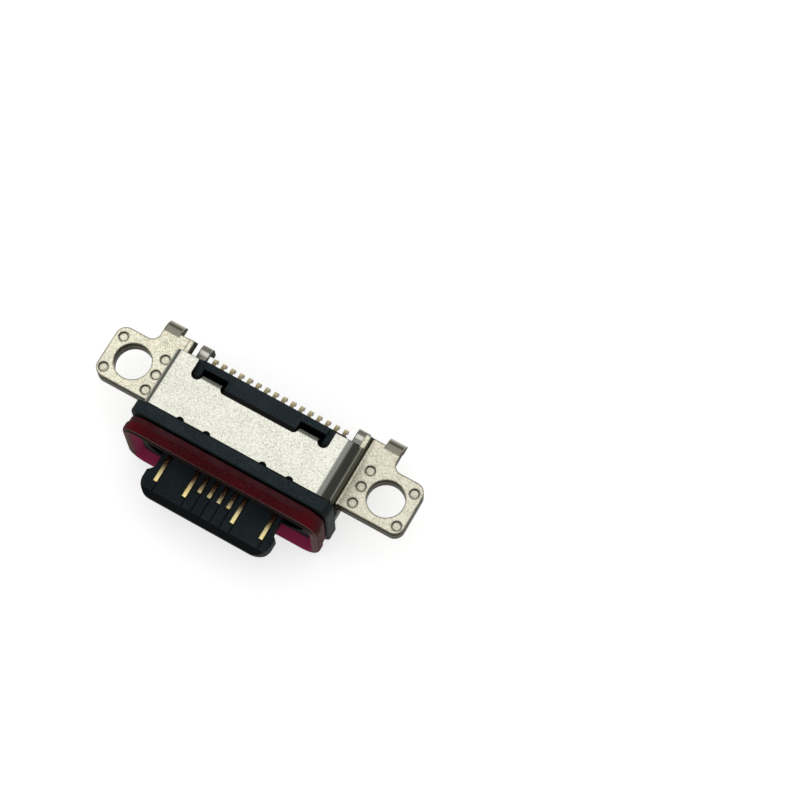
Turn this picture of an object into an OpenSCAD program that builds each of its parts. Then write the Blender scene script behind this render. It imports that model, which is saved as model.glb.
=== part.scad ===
// Waterproof 16-pin USB-C socket with two screw ears
// X runs along the socket, -Y is the way the plug comes in, +Z is up.
// Origin: centre of the mouth, on the plane of the gasket's front lip, halfway up the tongue.

/* [Ears] */
// Length of the socket over both ears
ear_span = 16.14; // [15.98:0.02:16.40]
// Distance between the two screw holes
hole_spacing = 13.34; // [13.26:0.02:13.44]
// Diameter of a screw hole
hole_d = 1.76; // [1.50:0.02:1.80]
// Height of the ears' top face above the tongue's middle
ear_top = 0.14; // [0.10:0.02:0.20]
// Sheet of the upper ear plates
ear_sheet = 0.40; // [0.36:0.01:0.42]
// Thickness of the wall that rises from each ear, pressed thinner than the ear
wall_thick = 0.26; // [0.24:0.01:0.28]
// Radius of a pressed weld dimple
dimple_r = 0.23; // [0.18:0.01:0.25]
// Depth of a pressed weld dimple
dimple_deep = 0.08; // [0.04:0.01:0.12]
// How far the solder tabs reach below the ear's top face
tab_drop = 0.60; // [0.54:0.02:0.90]

/* [Shell] */
// Height of the cover's top face above the tongue's middle
cover_top = 2.10; // [2.06:0.01:2.14]
// Sheet of the cover
cover_sheet = 0.15; // [0.12:0.01:0.15]
// Outside radius of the cover's end bends
cover_bend = 0.36; // [0.30:0.01:0.37]
// Sheet of the lower shell
shell_sheet = 0.40; // [0.36:0.01:0.44]
// Height of the ear plates' walls above the tongue's middle
wall_top = 1.64; // [1.50:0.01:1.64]

/* [Housing] */
// Half width of the moulded body between the walls
body_half = 4.51; // [4.48:0.01:4.54]
// Half width of the front flange
flange_half = 5.08; // [5.04:0.01:5.20]
// Upper corner radius of the front flange
flange_corner = 0.55; // [0.50:0.01:0.70]
// Half width of the plug cavity
cavity_half = 4.17; // [4.15:0.01:4.20]
// Half height of the plug cavity
cavity_rise = 1.28; // [1.26:0.01:1.30]

/* [Gasket] */
// Half width of the gasket
gasket_half = 5.06; // [5.00:0.01:5.10]
// Half height of the gasket
gasket_rise = 2.12; // [2.08:0.01:2.14]
// Thickness of the gasket's wall
gasket_wall = 0.42; // [0.36:0.01:0.44]

/* [Tongue] */
// Width of the tongue
tongue_wide = 6.69; // [6.64:0.01:6.74]
// Thickness of the tongue
tongue_thick = 0.70; // [0.68:0.01:0.72]
// How far the tongue stands out of the gasket's lip
tongue_reach = 1.80; // [1.70:0.01:1.90]

/* [Contacts] */
// Width of a contact on the tongue
contact_wide = 0.21; // [0.18:0.01:0.26]
// Centre of the first tail to centre of the last
tail_span = 6.91; // [6.86:0.01:6.94]
// Width of a tail
tail_wide = 0.18; // [0.16:0.01:0.24]
// How far the tails hang below the tongue's middle
tail_drop = 0.60; // [0.50:0.05:1.15]

/* [Hidden] */
$fn = 48;

ear_half = ear_span / 2;
hole_x = hole_spacing / 2;
hole_y = 3.39;
hole_r = hole_d / 2;
ear_y0 = 2.09;
ear_y1 = 4.74;
neck_x = 6.25;
neck_y = 5.60;
tab_bend = 0.52;
wall_out = body_half + wall_thick;
wall_bend = 0.14;
wall_heel = 0.38;
ear_under = ear_top - ear_sheet;
ear_low = ear_under - shell_sheet;
shell_out = body_half + shell_sheet;
shell_bend = 0.10;

cover_side = 4.74;
cover_y0 = 1.57;
cover_y1 = 4.45;
cover_flat = cover_side - cover_bend;
cover_low = wall_top + 0.03;
lip_root = 3.69;
lip_bend = 0.20;
lip_end = 1.35;

body_top = cover_top - cover_sheet;
body_low = shell_sheet - cover_top;
body_rear = 4.42;
rail_rear = 4.55;
block_rear = 4.90;
block_top = 0.50;
flange_y0 = 0.92;
flange_y1 = 1.53;
flange_round = 0.12;
flange_foot = 0.20;
nose_y = 0.46;
cavity_y = 3.00;

gasket_corner = 0.95;
gasket_mid = -0.04;
gasket_rear = 0.85;
gasket_round = 0.08;
bead_high = 0.07;
bead_y = 0.45;
funnel_deep = 0.68;
tongue_half = tongue_wide / 2;
tongue_rise = tongue_thick / 2;
tongue_nose = 0.30;
tongue_corner = 0.72;
base_half = 3.75;
base_rear = 4.95;
base_low = -0.90;

contact_rise = tongue_rise - 0.03;
contact_thick = 0.13;
contact_sink = contact_rise - contact_thick;
contact_x = [-2.75, -1.25, -0.75, -0.25, 0.25, 0.75, 1.25, 2.75];
long_tip = 0.67 - tongue_reach;
short_tip = long_tip + 0.50;
fan_y0 = 3.30;
fan_y1 = 4.00;
step_y = 4.25;
tail_y = 5.28;
tail_bend = 0.20;
tail_pitch = tail_span / 15;

plate_half_t = 0.09;
leg_in = 3.88;
leg_out = 4.42;
leg_top = -0.42;
leg_step = 3.98;
leg_y = 5.62;
leg_bend = 0.30;
leg_low = -1.35;

// the outer two contacts at each side reach further forward than the middle four
function tip_y(i) = (i < 2 || i > 5) ? long_tip : short_tip;

// ---- drawing helpers

// a profile drawn as (x, z), run from y0 to y1
module along_y(y0, y1) {
    translate([0, y1, 0]) rotate([90, 0, 0]) linear_extrude(y1 - y0) children();
}

// a profile drawn as (y, z), run from x0 to x1
module along_x(x0, x1) {
    translate([x0, 0, 0]) rotate([90, 0, 90]) linear_extrude(x1 - x0) children();
}

// a block between two corners
module block(a, b) {
    translate(a) cube(b - a);
}

// the same thing at both ends of the socket
module both_ends() {
    children();
    mirror([1, 0, 0]) children();
}

// a rectangle with true round corners
module round_rect(half_w, half_h, r) {
    square([2 * half_w, 2 * (half_h - r)], center = true);
    square([2 * (half_w - r), 2 * half_h], center = true);
    for (sx = [-1, 1], sy = [-1, 1])
        translate([sx * (half_w - r), sy * (half_h - r)]) circle(r);
}

// a quarter ring with its centre at the origin, in the quadrant that qx and qy point to
module quarter_ring(outer, inner, qx, qy) {
    intersection() {
        difference() {
            circle(outer);
            circle(inner);
        }
        translate([qx > 0 ? 0 : -outer - 1, qy > 0 ? 0 : -outer - 1]) square(outer + 1);
    }
}

// a section drawn as (out, y) from the corners' centres, swept round a rounded rectangle in XZ
module frame_sweep(cx, cz) {
    for (s = [[0, 1, -1], [90, -1, -1], [180, -1, 1], [270, 1, 1]])
        translate([s[1] * cx, 0, s[2] * cz]) rotate([0, s[0], 0]) rotate([-90, 0, 0])
            rotate_extrude(angle = 90) children();
    both_ends() translate([cx, 0, -cz]) linear_extrude(2 * cz) children();
    for (flip = [0, 1])
        mirror([0, 0, flip]) translate([cx, 0, cz]) rotate([0, -90, 0])
            linear_extrude(2 * cx) children();
}

// ---- cover

// the cap's section: flat top, round bends, short ends
module cover_section() {
    translate([-cover_flat, cover_top - cover_sheet]) square([2 * cover_flat, cover_sheet]);
    for (s = [-1, 1]) {
        translate([s * cover_flat, cover_top - cover_bend])
            quarter_ring(cover_bend, cover_bend - cover_sheet, s, 1);
        translate([s > 0 ? cover_side - cover_sheet : -cover_side, cover_low])
            square([cover_sheet, cover_top - cover_bend - cover_low]);
    }
}

// the rear cut-out in plan: side pockets with round floors, lips between them, long middle edge
module cover_cutout() {
    translate([-3.54, 3.80]) square([7.08, 2]);
    translate([-3, lip_root]) square([6, 1]);
    translate([-1.78, 3.52]) square([3.56, 1]);
    for (s = [-1, 1]) {
        translate([s * 3.27, 3.80]) circle(0.27);
        translate([s * 1.78, 3.72]) circle(0.20);
    }
}

// small stamped notches along the front edge
module cover_notches() {
    for (x = [-2.81, -1.445, 1.445, 2.81])
        translate([x, cover_y0 - 0.07]) circle(0.20);
}

// a lip bent down into the housing's slot
module cover_lip() {
    along_x(2.0, 3.0) {
        translate([lip_root - 0.15, cover_top - cover_sheet]) square([0.15, cover_sheet]);
        translate([lip_root, cover_top - lip_bend])
            quarter_ring(lip_bend, lip_bend - cover_sheet, 1, 1);
        translate([lip_root + lip_bend - cover_sheet, lip_end])
            square([cover_sheet, cover_top - lip_bend - lip_end]);
    }
}

module top_cover() {
    color("silver") {
        difference() {
            along_y(cover_y0, cover_y1) cover_section();
            translate([0, 0, 1.8]) linear_extrude(1) cover_cutout();
            translate([0, 0, 1.8]) linear_extrude(1) cover_notches();
        }
        both_ends() cover_lip();
    }
}

// ---- ears

// an ear in plan: a plate with round corners and its screw hole
module ear_plan(x0) {
    difference() {
        union() {
            translate([x0, ear_y0]) square([ear_half - 0.5 - x0, ear_y1 - ear_y0]);
            translate([ear_half - 0.5, ear_y0 + 0.5]) square([0.5, ear_y1 - ear_y0 - 1.0]);
            translate([ear_half - 0.5, ear_y0 + 0.5]) circle(0.5);
            translate([ear_half - 0.5, ear_y1 - 0.5]) circle(0.5);
        }
        translate([hole_x, hole_y]) circle(hole_r);
    }
}

// the neck behind an upper plate, with a hollow fillet at its outer edge
module neck_plan(x0) {
    translate([x0, ear_y1 - 0.1]) square([neck_x - x0, neck_y - ear_y1 + 0.1]);
    difference() {
        translate([neck_x - 0.1, ear_y1 - 0.1]) square(0.5);
        translate([neck_x + 0.4, ear_y1 + 0.4]) circle(0.4);
    }
}

// the wall that rises beside the body, seen from the end
module wall_side() {
    polygon([[2.06, ear_under - 0.1], [2.06, ear_top + 0.1], [1.74, 0.62], [1.74, wall_top],
        [4.50, wall_top], [4.74, 0.78], [neck_y - 0.16, 0.78], [neck_y, ear_top],
        [neck_y, ear_under - 0.1]]);
}

// the bend from ear to wall, and the wall: a wide heel below, a tight fillet above
module wall_section() {
    bend_x = wall_out + wall_bend;
    difference() {
        intersection() {
            union() {
                translate([body_half + wall_heel, ear_under + wall_heel]) circle(wall_heel);
                translate([body_half, ear_under + wall_heel]) square(1);
                translate([body_half + wall_heel, ear_under]) square(1);
            }
            translate([body_half, ear_under])
                square([bend_x - body_half, ear_sheet + wall_bend]);
        }
        translate([bend_x, ear_top + wall_bend]) circle(wall_bend);
    }
    translate([body_half, ear_top + wall_bend]) square([wall_thick, 2]);
}

// the solder tab behind the neck, bent down
module solder_tab() {
    along_x(5.42, neck_x) {
        translate([neck_y, ear_top - tab_bend])
            quarter_ring(tab_bend, tab_bend - ear_sheet, 1, 1);
        translate([neck_y + tab_bend - ear_sheet, ear_top - tab_drop])
            square([ear_sheet, tab_drop - tab_bend]);
    }
}

// upper plate of the right ear: one sheet that makes the ear, the wall and the solder tab
module upper_ear_plate() {
    difference() {
        union() {
            translate([0, 0, ear_under]) linear_extrude(ear_sheet) {
                ear_plan(wall_out + wall_bend);
                neck_plan(wall_out + wall_bend);
            }
            intersection() {
                along_y(0, 6) wall_section();
                along_x(4, 6) wall_side();
            }
            solder_tab();
        }
        for (p = [[7.67, 4.22], [7.71, 2.52], [5.41, 4.19], [5.41, 3.35], [5.45, 2.50]])
            translate([p[0], p[1], ear_top - dimple_deep]) cylinder(h = 1, r = dimple_r);
    }
}

module upper_ear_plate_left() {
    color("wheat") mirror([1, 0, 0]) upper_ear_plate();
}

module upper_ear_plate_right() {
    color("wheat") upper_ear_plate();
}

// ---- lower shell

// the trough's section from the middle out to where the ear begins
module shell_section() {
    r = shell_sheet + 0.13;
    translate([-0.01, -cover_top]) square([shell_out - r + 0.01, body_low + cover_top]);
    translate([shell_out - r, -cover_top + r]) quarter_ring(r, 0.13, 1, -1);
    translate([body_half, -cover_top + r])
        square([shell_sheet, ear_low - shell_bend + cover_top - r]);
    translate([shell_out + shell_bend, ear_low - shell_bend])
        quarter_ring(shell_sheet + shell_bend, shell_bend, -1, 1);
}

module lower_shell() {
    color("gainsboro") both_ends() {
        translate([0, 0, ear_low]) linear_extrude(shell_sheet) ear_plan(shell_out + shell_bend);
        difference() {
            along_y(cover_y0, ear_y1) shell_section();
            along_x(4, 6) polygon([[1, -1.05], [1.85, -1.05], [ear_y0, -0.80], [ear_y0, 1], [1, 1]]);
        }
    }
}

// ---- housing

// a plate with the given corner radius and a round front edge
module flange_plate(corner) {
    cx = flange_half - corner;
    cz = cover_top - corner;
    along_y(flange_y0 + flange_round, flange_y1) round_rect(flange_half, cover_top, corner);
    block([-cx, flange_y0, -cz], [cx, flange_y0 + flange_round, cz]);
    frame_sweep(cx, cz) {
        translate([0, flange_y0]) square([corner - flange_round, flange_round]);
        translate([corner - flange_round, flange_y0 + flange_round])
            quarter_ring(flange_round, 0, 1, -1);
    }
}

// the flange: wide corners above, tight ones below
module flange() {
    intersection() {
        flange_plate(flange_corner);
        block([-6, 0, 0], [6, 3, 3]);
    }
    intersection() {
        flange_plate(flange_foot);
        block([-6, 0, -3], [6, 3, 0]);
    }
}

// the body behind the flange, with the rail and the lower rear block
module body_block() {
    top_r = cover_bend - cover_sheet;
    top_half = cover_side - cover_sheet;
    along_y(flange_y1 - 0.1, body_rear) {
        translate([-top_half + top_r, wall_top]) square([2 * (top_half - top_r), body_top - wall_top]);
        translate([-top_half, wall_top]) square([2 * top_half, body_top - top_r - wall_top]);
        for (s = [-1, 1])
            translate([s * (top_half - top_r), body_top - top_r]) quarter_ring(top_r, 0, s, 1);
        translate([-body_half, body_low + 0.13]) square([2 * body_half, wall_top - body_low - 0.13]);
        translate([-body_half + 0.13, body_low]) square([2 * body_half - 0.26, 0.2]);
        for (s = [-1, 1])
            translate([s * (body_half - 0.13), body_low + 0.13]) circle(0.13);
    }
    block([-3.54, body_rear - 0.1, block_top - 0.1], [3.54, rail_rear, body_top]);
    block([-body_half, body_rear - 0.1, body_low + 0.13], [body_half, block_rear, block_top]);
    block([-body_half + 0.13, body_rear - 0.1, body_low], [body_half - 0.13, block_rear, 0]);
}

// the nose that the gasket sits on
module nose() {
    w = gasket_wall;
    along_y(nose_y, flange_y0 + 0.2) translate([0, gasket_mid])
        round_rect(gasket_half - w, gasket_rise - w, gasket_corner - w);
}

module housing() {
    color("darkslategray") difference() {
        union() {
            flange();
            nose();
            body_block();
        }
        along_y(0, cavity_y) round_rect(cavity_half, cavity_rise, cavity_rise - 0.01);
        block([-base_half, cavity_y - 0.1, base_low], [base_half, 6, block_top]);
        both_ends() {
            block([1.86, 3.56, 1.00], [3.18, 4.21, 3]);
            block([3.18, 3.56, body_top - 0.12], [3.60, 5, 3]);
        }
        latch_plate();
    }
}

// ---- gasket

// one section swept round: round nose, bead, a slightly lower neck and a smooth funnel inside
module gasket() {
    w = gasket_wall;
    u = gasket_corner;
    neck = u - bead_high;
    color("darkred") translate([0, 0, gasket_mid]) frame_sweep(gasket_half - u, gasket_rise - u) {
        translate([u - w / 2, w / 2]) circle(w / 2);
        polygon([[u - w, w / 2], [u, w / 2], [u, bead_y], [neck, bead_y + 0.13],
            [neck, gasket_rear - gasket_round], [neck - gasket_round, gasket_rear],
            [u - w, gasket_rear]]);
        translate([neck - gasket_round, gasket_rear - gasket_round]) circle(gasket_round);
        polygon([[u - 0.884 * w, 0.18 * w], [u - funnel_deep, nose_y - 0.01],
            [u - funnel_deep, nose_y], [u - w / 2, nose_y], [u - w / 2, w / 2]]);
    }
}

// ---- tongue

// the tongue in plan, with round front corners and a latch notch with a slanted shoulder
module tongue_plan() {
    front = -tongue_reach;
    r = tongue_corner;
    difference() {
        union() {
            translate([r - tongue_half, front]) square([2 * (tongue_half - r), 2]);
            translate([-tongue_half, front + r]) square([2 * tongue_half, cavity_y - front - r]);
            for (s = [-1, 1])
                translate([s * (tongue_half - r), front + r]) circle(r);
        }
        both_ends()
            polygon([[4, -0.74], [3.36, -0.74], [3.26, -0.66], [3.10, -0.47], [3.10, 1.5], [4, 1.5]]);
    }
}

// half of the tongue from the side, with its sloping nose
module tongue_side() {
    polygon([[-tongue_reach, 0], [-tongue_reach, 0.10], [-tongue_reach + tongue_nose, tongue_rise],
        [cavity_y, tongue_rise], [cavity_y, 0]]);
}

// upper half of the tongue, open above each contact and slit along its right edge
module tongue_half_solid() {
    w = contact_wide / 2;
    slit_y = tongue_nose - tongue_reach;
    difference() {
        intersection() {
            linear_extrude(tongue_rise) tongue_plan();
            along_x(-4, 4) tongue_side();
        }
        for (i = [0:7]) {
            block([contact_x[i] - w, tip_y(i), contact_rise], [contact_x[i] + w, 4, 1]);
            block([contact_x[i] + w - 0.01, slit_y, tongue_rise - 0.06],
                [contact_x[i] + w + 0.07, 0.5, 1]);
        }
    }
}

module upper_insulator() {
    color("dimgray") difference() {
        union() {
            tongue_half_solid();
            block([-base_half, cavity_y, 0], [base_half, base_rear, block_top]);
        }
        contact_row();
        latch_plate();
    }
}

module lower_insulator() {
    color("dimgray") difference() {
        union() {
            mirror([0, 0, 1]) tongue_half_solid();
            block([-base_half, cavity_y, base_low], [base_half, base_rear, 0]);
        }
        contact_row();
        latch_plate();
    }
}

// ---- latch plate between the two rows, with its two rear legs

module latch_plate() {
    t = plate_half_t;
    color("silver") {
        block([-2.80, -tongue_reach + 0.45, -t], [2.80, leg_step + 2 * t, t]);
        both_ends() {
            block([2.80, 3.40, -t], [leg_out, leg_step + 2 * t, t]);
            block([leg_in, leg_step, leg_top - 2 * t], [leg_out, leg_step + 2 * t, -t]);
            along_x(leg_in, leg_out) {
                translate([leg_step + 2 * t, leg_top - 2 * t])
                    square([leg_y - leg_step - 2 * t, 2 * t]);
                translate([leg_y, leg_top - leg_bend])
                    quarter_ring(leg_bend, leg_bend - 2 * t, 1, 1);
                translate([leg_y + leg_bend - 2 * t, leg_low])
                    square([2 * t, leg_top - leg_bend - leg_low]);
            }
        }
    }
}

// ---- contacts

// rear run and tail, drawn as (y, z)
module tail_side(y0) {
    translate([y0, -contact_rise]) square([tail_y - y0, contact_thick]);
    translate([tail_y, -contact_sink - tail_bend])
        quarter_ring(tail_bend, tail_bend - contact_thick, 1, 1);
    translate([tail_y + tail_bend - contact_thick, -tail_drop])
        square([contact_thick, tail_drop - contact_sink - tail_bend]);
}

// the blade on the tongue and the slanting run that spreads the row out
module blade(i, tail_x) {
    tip = tip_y(i);
    x = contact_x[i];
    w = contact_wide / 2;
    v = tail_wide / 2;
    along_x(x - w, x + w)
        polygon([[tip, contact_sink], [tip, contact_sink + 0.05], [tip + 0.10, contact_rise],
            [fan_y0, contact_rise], [fan_y0, contact_sink]]);
    translate([0, 0, contact_sink]) linear_extrude(contact_thick)
        polygon([[x - w, fan_y0], [x + w, fan_y0], [tail_x + v, fan_y1], [tail_x - v, fan_y1]]);
}

module upper_contact(i) {
    tail_x = (2 * i - 7.5) * tail_pitch;
    v = tail_wide / 2;
    color("gold") {
        blade(i, tail_x);
        block([tail_x - v, fan_y1, contact_sink], [tail_x + v, step_y + contact_thick, contact_rise]);
        block([tail_x - v, step_y, -contact_rise], [tail_x + v, step_y + contact_thick, contact_sink]);
        along_x(tail_x - v, tail_x + v) tail_side(step_y + contact_thick);
    }
}

module lower_contact(i) {
    tail_x = (2 * i - 6.5) * tail_pitch;
    v = tail_wide / 2;
    color("gold") {
        mirror([0, 0, 1]) blade(i, tail_x);
        along_x(tail_x - v, tail_x + v) tail_side(fan_y1);
    }
}

// all sixteen contacts, as the cutter for their seats
module contact_row() {
    for (i = [0:7]) {
        upper_contact(i);
        lower_contact(i);
    }
}

module upper_contact_1() { upper_contact(0); }
module upper_contact_2() { upper_contact(1); }
module upper_contact_3() { upper_contact(2); }
module upper_contact_4() { upper_contact(3); }
module upper_contact_5() { upper_contact(4); }
module upper_contact_6() { upper_contact(5); }
module upper_contact_7() { upper_contact(6); }
module upper_contact_8() { upper_contact(7); }
module lower_contact_1() { lower_contact(0); }
module lower_contact_2() { lower_contact(1); }
module lower_contact_3() { lower_contact(2); }
module lower_contact_4() { lower_contact(3); }
module lower_contact_5() { lower_contact(4); }
module lower_contact_6() { lower_contact(5); }
module lower_contact_7() { lower_contact(6); }
module lower_contact_8() { lower_contact(7); }

top_cover();
upper_ear_plate_left();
upper_ear_plate_right();
lower_shell();
housing();
gasket();
upper_insulator();
lower_insulator();
latch_plate();
upper_contact_1();
upper_contact_2();
upper_contact_3();
upper_contact_4();
upper_contact_5();
upper_contact_6();
upper_contact_7();
upper_contact_8();
lower_contact_1();
lower_contact_2();
lower_contact_3();
lower_contact_4();
lower_contact_5();
lower_contact_6();
lower_contact_7();
lower_contact_8();
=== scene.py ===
import math
import bpy
from mathutils import Matrix, Vector


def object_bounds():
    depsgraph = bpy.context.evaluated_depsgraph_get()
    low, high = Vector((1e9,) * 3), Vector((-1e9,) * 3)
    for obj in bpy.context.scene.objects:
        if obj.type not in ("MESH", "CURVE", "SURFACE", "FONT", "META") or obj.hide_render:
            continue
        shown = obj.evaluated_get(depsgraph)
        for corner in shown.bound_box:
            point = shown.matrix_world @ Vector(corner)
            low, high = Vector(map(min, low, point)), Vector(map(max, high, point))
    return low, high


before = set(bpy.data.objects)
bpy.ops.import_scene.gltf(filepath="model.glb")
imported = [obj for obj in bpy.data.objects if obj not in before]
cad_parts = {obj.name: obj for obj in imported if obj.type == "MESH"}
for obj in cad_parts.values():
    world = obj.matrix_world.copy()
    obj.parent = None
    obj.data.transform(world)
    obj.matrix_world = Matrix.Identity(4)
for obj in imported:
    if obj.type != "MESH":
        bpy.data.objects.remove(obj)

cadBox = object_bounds()
mm = 0.001


# shader helpers: lengths and places in the finishes are millimetres, a span is a start and an end

def newFinish(name):
    finish = bpy.data.materials.new(name)
    finish.use_nodes = True
    tree = finish.node_tree
    return finish, tree, tree.nodes["Principled BSDF"]


def fillSockets(tree, node, values):
    # numbers and triples are set, sockets are linked
    for socket, value in zip(node.inputs, values):
        if isinstance(value, (int, float, tuple)):
            socket.default_value = value
        else:
            tree.links.new(value, socket)


def calc(tree, operation, a, b):
    node = tree.nodes.new("ShaderNodeMath")
    node.operation = operation
    fillSockets(tree, node, (a, b))
    return node.outputs[0]


def times(tree, a, b):
    return calc(tree, "MULTIPLY", a, b)


def plus(tree, a, b):
    return calc(tree, "ADD", a, b)


def distance(tree, value, middle=0.0):
    return calc(tree, "ABSOLUTE", calc(tree, "SUBTRACT", value, middle), 0.0)


def vectorMath(tree, operation, a, b):
    node = tree.nodes.new("ShaderNodeVectorMath")
    node.operation = operation
    fillSockets(tree, node, (a, b))
    return node.outputs["Value" if operation == "DOT_PRODUCT" else "Vector"]


def axes(tree, vector):
    node = tree.nodes.new("ShaderNodeSeparateXYZ")
    tree.links.new(vector, node.inputs[0])
    return node.outputs[0], node.outputs[1], node.outputs[2]


def pointInMm(tree):
    coords = tree.nodes.new("ShaderNodeTexCoord")
    return vectorMath(tree, "MULTIPLY", coords.outputs["Object"], (1 / mm, 1 / mm, 1 / mm))


def noise(tree, point, size, detail=2.0, roughness=0.5):
    # size is about one blotch
    node = tree.nodes.new("ShaderNodeTexNoise")
    node.inputs["Scale"].default_value = 1 / size
    node.inputs["Detail"].default_value = detail
    node.inputs["Roughness"].default_value = roughness
    tree.links.new(point, node.inputs["Vector"])
    return node.outputs["Fac"]


def remap(tree, value, span, low=0.0, high=1.0, eased=False):
    # low to high while the value crosses the span
    node = tree.nodes.new("ShaderNodeMapRange")
    if eased:
        node.interpolation_type = "SMOOTHSTEP"
    for key, number in (("From Min", span[0]), ("From Max", span[1]), ("To Min", low), ("To Max", high)):
        node.inputs[key].default_value = number
    tree.links.new(value, node.inputs["Value"])
    return node.outputs["Result"]


def fade(tree, value, span):
    return remap(tree, value, span, eased=True)


def blendColours(tree, factor, under, over):
    node = tree.nodes.new("ShaderNodeMix")
    node.data_type = "RGBA"
    for socket, value in ((node.inputs[6], under), (node.inputs[7], over)):
        if isinstance(value, tuple):
            socket.default_value = (*value, 1)
        else:
            tree.links.new(value, socket)
    tree.links.new(factor, node.inputs[0])
    return node.outputs[2]


def faceNormal(tree):
    return tree.nodes.new("ShaderNodeNewGeometry").outputs["Normal"]


def facing(tree, axis):
    # 0 to 1: how far the surface faces along one axis, either way round
    return distance(tree, axes(tree, faceNormal(tree))[axis])


edgeSamples = 6
gapSamples = 8


def softEdges(tree, radius):
    node = tree.nodes.new("ShaderNodeBevel")
    node.samples = edgeSamples
    node.inputs["Radius"].default_value = radius * mm
    return node.outputs["Normal"]


rollSpan = (0.995, 0.90)      # where a rounded normal starts to lean away, and where the edge is all roll


def edgeRoll(tree, rounded):
    # 0 on flat faces, rising to 1 where the rounded normal leaves the true one
    return remap(tree, vectorMath(tree, "DOT_PRODUCT", faceNormal(tree), rounded), rollSpan)


def paintedGapShade(tree, look):
    # painted shade: 0 in the open, rising to the gloom in gaps and inner corners narrower than the gap
    node = tree.nodes.new("ShaderNodeAmbientOcclusion")
    node.samples = gapSamples
    node.inputs["Distance"].default_value = look["gap"] * mm
    return times(tree, remap(tree, node.outputs["AO"], look["gapSpan"], 1.0, 0.0), look["gloom"])


def bands(tree, colour, place, listed):
    # other tones past a place on one axis, some only near the middle of the socket or far from it
    width = distance(tree, place[0])
    for band in listed:
        along = place[band["along"]]
        past = remap(tree, along, band["span"], high=band.get("most", 1.0), eased=True)
        for key, test, value in (("outside", "GREATER_THAN", width), ("inside", "LESS_THAN", width),
                                 ("until", "LESS_THAN", along)):
            if key in band:
                past = times(tree, past, calc(tree, test, value, band[key]))
        colour = blendColours(tree, past, colour, band["tone"])
    return colour


glossSpan = (0.3, 0.7)        # the part of the grain that changes the gloss


def grainedSurface(tree, shader, grain, look, normal=None):
    # the grain varies the gloss and raises the surface a little
    tree.links.new(remap(tree, grain, glossSpan, look["smooth"], look["rough"]), shader.inputs["Roughness"])
    relief = tree.nodes.new("ShaderNodeBump")
    relief.inputs["Distance"].default_value = look["depth"] * mm
    relief.inputs["Strength"].default_value = look["relief"]
    tree.links.new(grain, relief.inputs["Height"])
    if normal is not None:
        tree.links.new(normal, relief.inputs["Normal"])
    tree.links.new(relief.outputs["Normal"], shader.inputs["Normal"])
    shader.inputs["Specular IOR Level"].default_value = look["shine"]
    shader.inputs["IOR"].default_value = look["ior"]


# plated sheet metal: fine grain on the faces; the darker bends, edges, sides and the dark gaps are painted
# shade, and a few bands hold painted highlights

plating = {
    "mottle": 2.2, "shares": (0.62, 0.28, 0.10), "toneSpan": (0.37, 0.56),      # grain, mottle, clouds
    "front": (0.49, -0.87, 0), "rearSpan": (0.0, -0.30), "rearMetal": 0.95,     # sides facing the front take the dark side tone, painted shade; sides turned away are plain nickel
    "seamCore": 0.4, "gapShade": (0.004, 0.004, 0.003), "gloom": 0.97, "gapSpan": (0.35, 0.85),
    "depth": 0.006, "relief": 0.7, "shine": 0.1, "ior": 1.12,
}


def plateFace(tree, point, grain, look):
    mottle = noise(tree, point, look["grain"] * look["mottle"])
    clouds = noise(tree, point, look["clouds"], detail=3.0, roughness=0.55)
    shares = look["shares"]
    tone = plus(tree, times(tree, grain, shares[0]), times(tree, mottle, shares[1]))
    tone = plus(tree, tone, times(tree, clouds, shares[2]))
    return blendColours(tree, remap(tree, tone, look["toneSpan"]), look["dark"], look["light"])


# side faces: the dark side tone is painted shade, lighter plain nickel on sides turned away
def plateSide(tree, place, turnedAway, look):
    side = look["side"]
    if "seam" in look:        # a burnished line where the two sheets of an ear meet
        away = distance(tree, place[2], look["seam"])
        line = fade(tree, away, (look["seamHalf"], look["seamHalf"] * look["seamCore"]))
        side = blendColours(tree, times(tree, line, look["burnish"]), side, look["cut"])
    side = bands(tree, side, place, look["sideBands"])
    return blendColours(tree, turnedAway, side, look["sideRear"])


def platedSheet(name, look):
    finish, tree, shader = newFinish(name)
    point = pointInMm(tree)
    place = axes(tree, point)
    grain = noise(tree, point, look["grain"], roughness=0.6)
    face = bands(tree, plateFace(tree, point, grain, look), place, look["bands"])
    towardsFront = vectorMath(tree, "DOT_PRODUCT", faceNormal(tree), look["front"])
    turnedAway = fade(tree, towardsFront, look["rearSpan"])
    # painted shade: faces that don't face up, and the rounded rims, take the dark side tone
    rimShade = times(tree, edgeRoll(tree, softEdges(tree, look["rim"])), look["roll"])
    level = times(tree, fade(tree, facing(tree, 2), look["turnSpan"]), calc(tree, "SUBTRACT", 1.0, rimShade))
    plate = blendColours(tree, level, plateSide(tree, place, turnedAway, look), face)
    tree.links.new(blendColours(tree, paintedGapShade(tree, look), plate, look["gapShade"]), shader.inputs["Base Color"])
    metal = calc(tree, "MAXIMUM", times(tree, turnedAway, look["rearMetal"]), level)
    tree.links.new(remap(tree, metal, (0.0, 1.0), look["sideMetal"], 1.0), shader.inputs["Metallic"])
    grainedSurface(tree, shader, grain, look, softEdges(tree, look["edge"]))
    return finish


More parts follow.
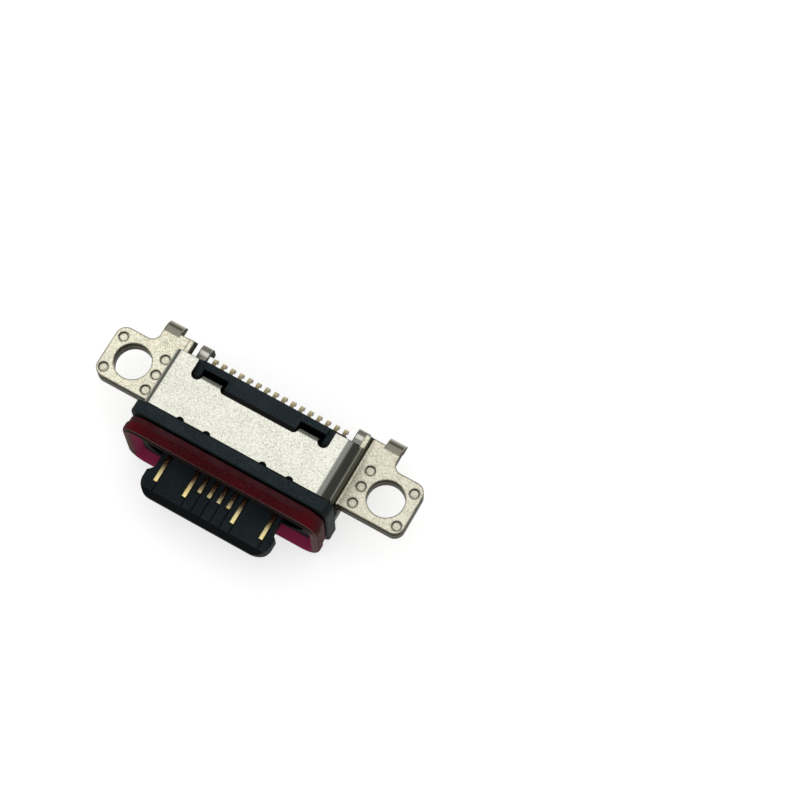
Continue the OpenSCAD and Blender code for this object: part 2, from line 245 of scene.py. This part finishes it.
coverLook = {
    **plating,
    "light": (0.78, 0.78, 0.69), "dark": (0.40, 0.40, 0.335),
    "side": (0.050, 0.052, 0.044), "sideRear": (0.42, 0.42, 0.36),
    "bands": [
        {"along": 0, "span": (4.12, 4.22), "tone": (0.15, 0.157, 0.143), "most": 0.92},    # painted shade beside the fold
        {"along": 0, "span": (4.36, 4.48), "tone": (0.040, 0.040, 0.034)},                 # painted shade on the right fold
        {"along": 0, "span": (-4.44, -4.52), "tone": (0.060, 0.062, 0.056)},               # painted shade on the left fold
        {"along": 1, "span": (3.63, 3.73), "tone": (0.11, 0.11, 0.10),
         "outside": 1.95, "inside": 3.02},                                                 # painted shade on the two lips' bends
    ],
    "sideBands": [],
    "turnSpan": (0.35, 0.99), "sideMetal": 0.3, "gap": 0.30, "edge": 0.045, "rim": 0.05, "roll": 0.6,
    "grain": 0.045, "clouds": 1.1, "smooth": 0.32, "rough": 0.48,
}
earLook = {
    **plating,
    "light": (0.80, 0.77, 0.62), "dark": (0.33, 0.31, 0.225),
    "side": (0.026, 0.026, 0.016), "sideRear": (0.42, 0.41, 0.33),
    "cut": (0.15, 0.12, 0.06), "seam": -0.23, "seamHalf": 0.10, "burnish": 0.8,
    "bands": [
        {"along": 0, "span": (4.6, 5.4), "tone": (0.40, 0.39, 0.33), "most": 0.28},        # painted shade on the right ear
        {"along": 1, "span": (5.36, 5.46), "tone": (0.17, 0.16, 0.13), "most": 0.93,
         "outside": 5.40},                                                                 # painted shade on the solder tab bends
        {"along": 1, "span": (4.95, 5.10), "tone": (0.17, 0.17, 0.15), "most": 0.92,
         "inside": 4.46},                                                                  # painted shade on the legs, root to tip
        # painted highlight across the legs
        {"along": 1, "span": (5.34, 5.42), "tone": (0.62, 0.61, 0.55), "most": 0.8, "inside": 4.46},
        # painted shade past the highlight
        {"along": 1, "span": (5.54, 5.62), "tone": (0.14, 0.14, 0.12), "inside": 4.46},
        {"along": 1, "span": (5.70, 5.82), "tone": (0.040, 0.032, 0.022)},                 # painted shade on the rearmost bends
    ],
    "sideBands": [
        {"along": 2, "span": (0.35, 0.50), "tone": (0.062, 0.066, 0.046)},                 # painted shade low on the wall at the body
        {"along": 2, "span": (1.30, 1.38), "tone": (0.32, 0.32, 0.29)},                    # painted highlight on its top edge
    ],
    "turnSpan": (0.55, 0.99), "sideMetal": 0.1, "gap": 0.36, "edge": 0.05, "rim": 0.13, "roll": 0.9,
    "grain": 0.05, "clouds": 0.9, "smooth": 0.30, "rough": 0.46,
}
shellLook = {
    **plating,
    "light": (0.60, 0.58, 0.48), "dark": (0.33, 0.31, 0.25),
    "side": (0.10, 0.095, 0.070), "sideRear": (0.42, 0.41, 0.33),
    "cut": (0.15, 0.12, 0.06), "seam": -0.28, "seamHalf": 0.08, "burnish": 0.5,
    "bands": [],
    "sideBands": [
        {"along": 2, "span": (-0.32, -0.36), "tone": (0.026, 0.026, 0.016),
         "outside": 4.9},                                                                  # painted shade low on the ears
    ],
    "turnSpan": (0.30, 0.98), "sideMetal": 0.5, "gap": 0.36, "edge": 0.04, "rim": 0.06, "roll": 0.7,
    "grain": 0.05, "clouds": 0.9, "smooth": 0.30, "rough": 0.46,
}
coverSheet = platedSheet("coverSheet", coverLook)
earSheet = platedSheet("earSheet", earLook)
shellSheet = platedSheet("shellSheet", shellLook)
print("plated sheet finishes made")


# gold flash on the contacts: bright in the open, painted shade makes it brown in the depth of the mouth and
# on rounded edges, duller on the tails

def goldFlash(name, look):
    finish, tree, shader = newFinish(name)
    point = pointInMm(tree)
    grain = noise(tree, point, look["grain"])
    clouds = noise(tree, point, look["clouds"])
    average = times(tree, plus(tree, grain, clouds), 0.5)
    gold = blendColours(tree, remap(tree, average, look["toneSpan"]), look["dark"], look["light"])
    tails = remap(tree, axes(tree, point)[1], look["tailSpan"], high=look["tailMost"])
    gold = blendColours(tree, tails, gold, look["tail"])
    # painted shade on the rounded edges
    rimShade = times(tree, edgeRoll(tree, softEdges(tree, look["rim"])), look["roll"])
    gold = blendColours(tree, rimShade, gold, look["side"])
    tree.links.new(blendColours(tree, paintedGapShade(tree, look), gold, look["gapShade"]), shader.inputs["Base Color"])
    shader.inputs["Metallic"].default_value = 1.0
    grainedSurface(tree, shader, grain, look, softEdges(tree, look["edge"]))
    return finish


contactLook = {
    "light": (1.0, 0.93, 0.52), "dark": (0.80, 0.63, 0.25), "toneSpan": (0.38, 0.60),
    "side": (0.42, 0.27, 0.08), "edge": 0.02, "rim": 0.06, "roll": 0.7,
    "tail": (0.36, 0.33, 0.21), "tailSpan": (4.2, 4.6), "tailMost": 0.8,
    "gapShade": (0.030, 0.017, 0.007), "gap": 2.4, "gapSpan": (0.56, 0.86), "gloom": 0.98,
    "grain": 0.03, "clouds": 0.4, "smooth": 0.20, "rough": 0.34, "depth": 0.002, "relief": 0.4,
    "shine": 0.5, "ior": 1.5,
}
goldPlate = goldFlash("goldPlate", contactLook)
print("gold finish made")


# moulded plastic: bluish black with a fine sparked grain, painted shade on the sides and in gaps, a painted
# highlight along rounded edges

moulding = {
    "cloudSpan": (0.35, 0.65), "fleckSize": 1.3, "fleckSpan": (0.54, 0.72), "turnSpan": (0.75, 0.99),
    "gapSpan": (0.30, 0.90), "ior": 1.28,
}


def mouldedPlastic(name, look):
    finish, tree, shader = newFinish(name)
    point = pointInMm(tree)
    grain = noise(tree, point, look["grain"], roughness=0.6)
    clouds = noise(tree, point, look["clouds"], detail=3.0)
    plastic = blendColours(tree, remap(tree, clouds, look["cloudSpan"]), look["dark"], look["light"])
    specks = noise(tree, point, look["grain"] * look["fleckSize"], detail=1.0)
    flecks = remap(tree, specks, look["fleckSpan"], high=look["flecks"])
    plastic = blendColours(tree, flecks, plastic, look["fleck"])
    # painted shade on faces that don't face up
    plastic = blendColours(tree, fade(tree, facing(tree, 2), look["turnSpan"]), look["side"], plastic)
    rounded = softEdges(tree, look["edge"])
    # painted highlight along the rounded edges
    rimGlint = times(tree, edgeRoll(tree, rounded), look["glint"])
    plastic = blendColours(tree, rimGlint, plastic, look["fleck"])
    plastic = bands(tree, plastic, axes(tree, point), look["bands"])
    tree.links.new(blendColours(tree, paintedGapShade(tree, look), plastic, look["gapShade"]), shader.inputs["Base Color"])
    grainedSurface(tree, shader, grain, look, rounded)
    return finish


bodyLook = {
    **moulding,
    "light": (0.021, 0.032, 0.037), "dark": (0.012, 0.020, 0.024), "side": (0.008, 0.012, 0.013),
    "fleck": (0.070, 0.085, 0.090), "flecks": 0.55, "edge": 0.04, "glint": 0.0,
    "gapShade": (0.002, 0.002, 0.002), "gap": 0.7, "gloom": 0.90,
    "bands": [
        {"along": 1, "span": (0.90, 0.78), "tone": (0.003, 0.004, 0.004)},                 # painted shade behind the ring
        {"along": 1, "span": (3.40, 3.45), "tone": (0.002, 0.002, 0.002),
         "until": 3.78},                                                                   # painted shadow at the cover's edge
    ],
    "grain": 0.05, "clouds": 1.2, "smooth": 0.50, "rough": 0.70, "depth": 0.006, "relief": 0.6,
    "shine": 0.25,
}
tongueLook = {
    **moulding,
    "light": (0.018, 0.027, 0.031), "dark": (0.010, 0.016, 0.019), "side": (0.002, 0.003, 0.004),
    "fleck": (0.050, 0.062, 0.068), "flecks": 0.5, "edge": 0.03, "glint": 0.5,
    "gapShade": (0.001, 0.001, 0.001), "gap": 1.2, "gloom": 0.95,
    "bands": [],
    "grain": 0.045, "clouds": 0.9, "smooth": 0.46, "rough": 0.64, "depth": 0.004, "relief": 0.5,
    "shine": 0.15,
}
bodyPlastic = mouldedPlastic("bodyPlastic", bodyLook)
tonguePlastic = mouldedPlastic("tonguePlastic", tongueLook)
print("plastic finishes made")


# silicone ring: dark red outside, greyer at the ends with painted reflection, a painted highlight on the lip
# with painted shade above it, pinker down in the mouth

def ringOutside(tree, clouds, width, y, look):
    colour = blendColours(tree, remap(tree, clouds, look["cloudSpan"]), look["outsideDark"], look["outside"])
    colour = blendColours(tree, fade(tree, width, look["cornerSpan"]), colour, look["corners"])
    # painted reflection: greyer on faces turned to the ends
    colour = blendColours(tree, fade(tree, facing(tree, 0), look["endSpan"]), colour, look["ends"])
    patchy = remap(tree, clouds, look["ridgeClouds"], look["ridgeLeast"], 1.0)
    return blendColours(tree, times(tree, fade(tree, y, look["ridgeSpan"]), patchy), colour, look["ridge"])


def ringLip(tree, colour, width, y, z, look):
    # painted highlight on the front of the lip, then painted shade on its top
    front = times(tree, facing(tree, 1), remap(tree, y, look["frontSpan"]))
    nearEnds = remap(tree, width, look["lipWidths"], look["lipLeast"], 1.0)
    lip = times(tree, fade(tree, front, look["lipSpan"]), nearEnds)
    colour = blendColours(tree, lip, colour, look["lip"])
    top = times(tree, fade(tree, front, look["lipTopSpan"]), fade(tree, z, look["lipTopHeights"]))
    return blendColours(tree, top, colour, look["lipTop"])


def ringInside(tree, colour, point, width, look):
    # outward is below 0 where the surface faces the middle of the mouth
    fromMiddle = vectorMath(tree, "MULTIPLY", point, (1, 0, 1))
    outward = vectorMath(tree, "DOT_PRODUCT", fromMiddle, faceNormal(tree))
    # near the ends the inside takes the lip's painted highlight
    inside = blendColours(tree, fade(tree, width, look["insideEnds"]), look["inside"], look["lip"])
    return blendColours(tree, fade(tree, outward, look["insideSpan"]), colour, inside)


def siliconeRing(name, look):
    finish, tree, shader = newFinish(name)
    point = pointInMm(tree)
    x, y, z = axes(tree, point)
    width = distance(tree, x)
    grain = noise(tree, point, look["grain"], roughness=0.6)
    clouds = noise(tree, point, look["clouds"], detail=3.0)
    colour = ringOutside(tree, clouds, width, y, look)
    colour = ringLip(tree, colour, width, y, z, look)
    colour = ringInside(tree, colour, point, width, look)
    specks = noise(tree, point, look["grain"] * look["fleckSize"], detail=1.0)
    flecks = remap(tree, specks, look["fleckSpan"], high=look["flecks"])
    colour = blendColours(tree, flecks, colour, look["fleck"])
    tree.links.new(blendColours(tree, paintedGapShade(tree, look), colour, look["gapShade"]), shader.inputs["Base Color"])
    grainedSurface(tree, shader, grain, look)
    return finish


gasketLook = {
    "outside": (0.072, 0.005, 0.008), "outsideDark": (0.048, 0.004, 0.006), "cloudSpan": (0.35, 0.65),
    "corners": (0.115, 0.006, 0.009), "cornerSpan": (3.4, 4.8),
    "ends": (0.058, 0.012, 0.013), "endSpan": (0.45, 0.95),
    "ridge": (0.062, 0.018, 0.022), "ridgeSpan": (0.45, 0.62), "ridgeClouds": (0.3, 0.6), "ridgeLeast": 0.3,
    "frontSpan": (0.22, 0.12), "lip": (0.12, 0.066, 0.056), "lipSpan": (0.40, 0.58),
    "lipWidths": (1.0, 4.0), "lipLeast": 0.4,
    "lipTop": (0.010, 0.007, 0.007), "lipTopSpan": (0.62, 0.78), "lipTopHeights": (1.3, 1.8),
    "inside": (0.32, 0.028, 0.092), "insideSpan": (0.1, -0.7), "insideEnds": (4.56, 4.76),
    "fleck": (0.18, 0.07, 0.07), "fleckSize": 1.4, "fleckSpan": (0.62, 0.78), "flecks": 0.45,
    "gapShade": (0.012, 0.001, 0.002), "gap": 0.25, "gapSpan": (0.25, 0.75), "gloom": 0.9,
    "grain": 0.05, "clouds": 0.8, "smooth": 0.46, "rough": 0.62, "depth": 0.003, "relief": 0.4,
    "shine": 0.05, "ior": 1.35,
}
redSilicone = siliconeRing("redSilicone", gasketLook)
print("silicone finish made")


# which pieces wear which finish

worn = [
    (coverSheet, ["top_cover"]),
    (earSheet, ["upper_ear_plate_left", "upper_ear_plate_right", "latch_plate"]),
    (shellSheet, ["lower_shell"]),
    (bodyPlastic, ["housing"]),
    (tonguePlastic, ["upper_insulator", "lower_insulator"]),
    (redSilicone, ["gasket"]),
    (goldPlate, [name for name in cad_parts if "_contact_" in name]),
]
for finish, names in worn:
    for name in names:
        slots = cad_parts[name].data.materials
        slots.clear()
        slots.append(finish)
    print(finish.name, "on", len(names), "pieces")


# floor, light and camera

studio = {
    "floorSize": 1.2, "floorGap": 0.00001, "floorColour": (0.80, 0.80, 0.80), "floorRough": 0.9,
    "floorShine": 0.1, "floorLift": 0.62,        # the lift only whitens the floor as seen
    "worldSeen": 1.0, "worldLevel": 0.48,        # white behind and in reflections, softer as light
    "aim": (0, 0.002, 0),
    "overhead": {"at": (-0.01, 0.10, 0.40), "size": 0.44, "power": 0.22},
    "side": {"at": (0.26, -0.16, 0.12), "size": 0.16, "power": 0.03},
}


def seenAsBackground(tree):
    # 1 for rays from the camera, in reflections and through clear pieces
    path = tree.nodes.new("ShaderNodeLightPath")
    seen = plus(tree, path.outputs["Is Camera Ray"], path.outputs["Is Glossy Ray"])
    return plus(tree, seen, path.outputs["Is Transmission Ray"])


def paleFloor():
    half = studio["floorSize"] / 2
    low = cadBox[0][2] - studio["floorGap"]
    corners = [(-half, -half, low), (half, -half, low), (half, half, low), (-half, half, low)]
    mesh = bpy.data.meshes.new("floor")
    mesh.from_pydata(corners, [], [(0, 1, 2, 3)])
    floor = bpy.data.objects.new("floor", mesh)
    bpy.context.scene.collection.objects.link(floor)
    finish, tree, shader = newFinish("floorPaper")
    shader.inputs["Base Color"].default_value = (*studio["floorColour"], 1)
    shader.inputs["Roughness"].default_value = studio["floorRough"]
    shader.inputs["Specular IOR Level"].default_value = studio["floorShine"]
    glow = tree.nodes.new("ShaderNodeEmission")
    tree.links.new(times(tree, seenAsBackground(tree), studio["floorLift"]), glow.inputs["Strength"])
    both = tree.nodes.new("ShaderNodeAddShader")
    tree.links.new(shader.outputs[0], both.inputs[0])
    tree.links.new(glow.outputs[0], both.inputs[1])
    tree.links.new(both.outputs[0], tree.nodes["Material Output"].inputs["Surface"])
    mesh.materials.append(finish)


def evenWorld():
    world = bpy.data.worlds.new("studioWorld")
    bpy.context.scene.world = world
    world.use_nodes = True
    tree = world.node_tree
    sky = tree.nodes["Background"]
    sky.inputs["Color"].default_value = (1, 1, 1, 1)
    level = remap(tree, seenAsBackground(tree), (0.0, 1.0), studio["worldLevel"], studio["worldSeen"])
    tree.links.new(level, sky.inputs["Strength"])


def softboxAt(name, look):
    lamp = bpy.data.lights.new(name, "AREA")
    lamp.shape = "SQUARE"
    lamp.size = look["size"]
    lamp.energy = look["power"]
    box = bpy.data.objects.new(name, lamp)
    bpy.context.scene.collection.objects.link(box)
    box.location = look["at"]
    box.rotation_euler = (Vector(studio["aim"]) - box.location).to_track_quat("-Z", "Y").to_euler()


view = {
    "azimuth": 29.5, "elevation": 70.85, "at": (0.021475, -0.021501, 0.097026),
    "lens": 101.4, "sensor": 36, "nearest": 0.001, "farthest": 10,
}


def mainCamera():
    camera = bpy.data.cameras.new("mainCamera")
    camera.lens = view["lens"]
    camera.sensor_width = view["sensor"]
    camera.clip_start = view["nearest"]
    camera.clip_end = view["farthest"]
    holder = bpy.data.objects.new("mainCamera", camera)
    bpy.context.scene.collection.objects.link(holder)
    turn = math.radians(view["azimuth"])
    rise = math.radians(view["elevation"])
    right = Vector((math.cos(turn), math.sin(turn), 0))
    back = Vector((math.sin(turn) * math.cos(rise), -math.cos(turn) * math.cos(rise), math.sin(rise)))
    up = back.cross(right)
    holder.matrix_world = Matrix.Translation(view["at"]) @ Matrix((right, up, back)).transposed().to_4x4()
    bpy.context.scene.camera = holder


paleFloor()
evenWorld()
softboxAt("overheadSoftbox", studio["overhead"])
softboxAt("sideSoftbox", studio["side"])
mainCamera()
bpy.context.scene.view_settings.view_transform = "Standard"
print("floor, light and camera in place")
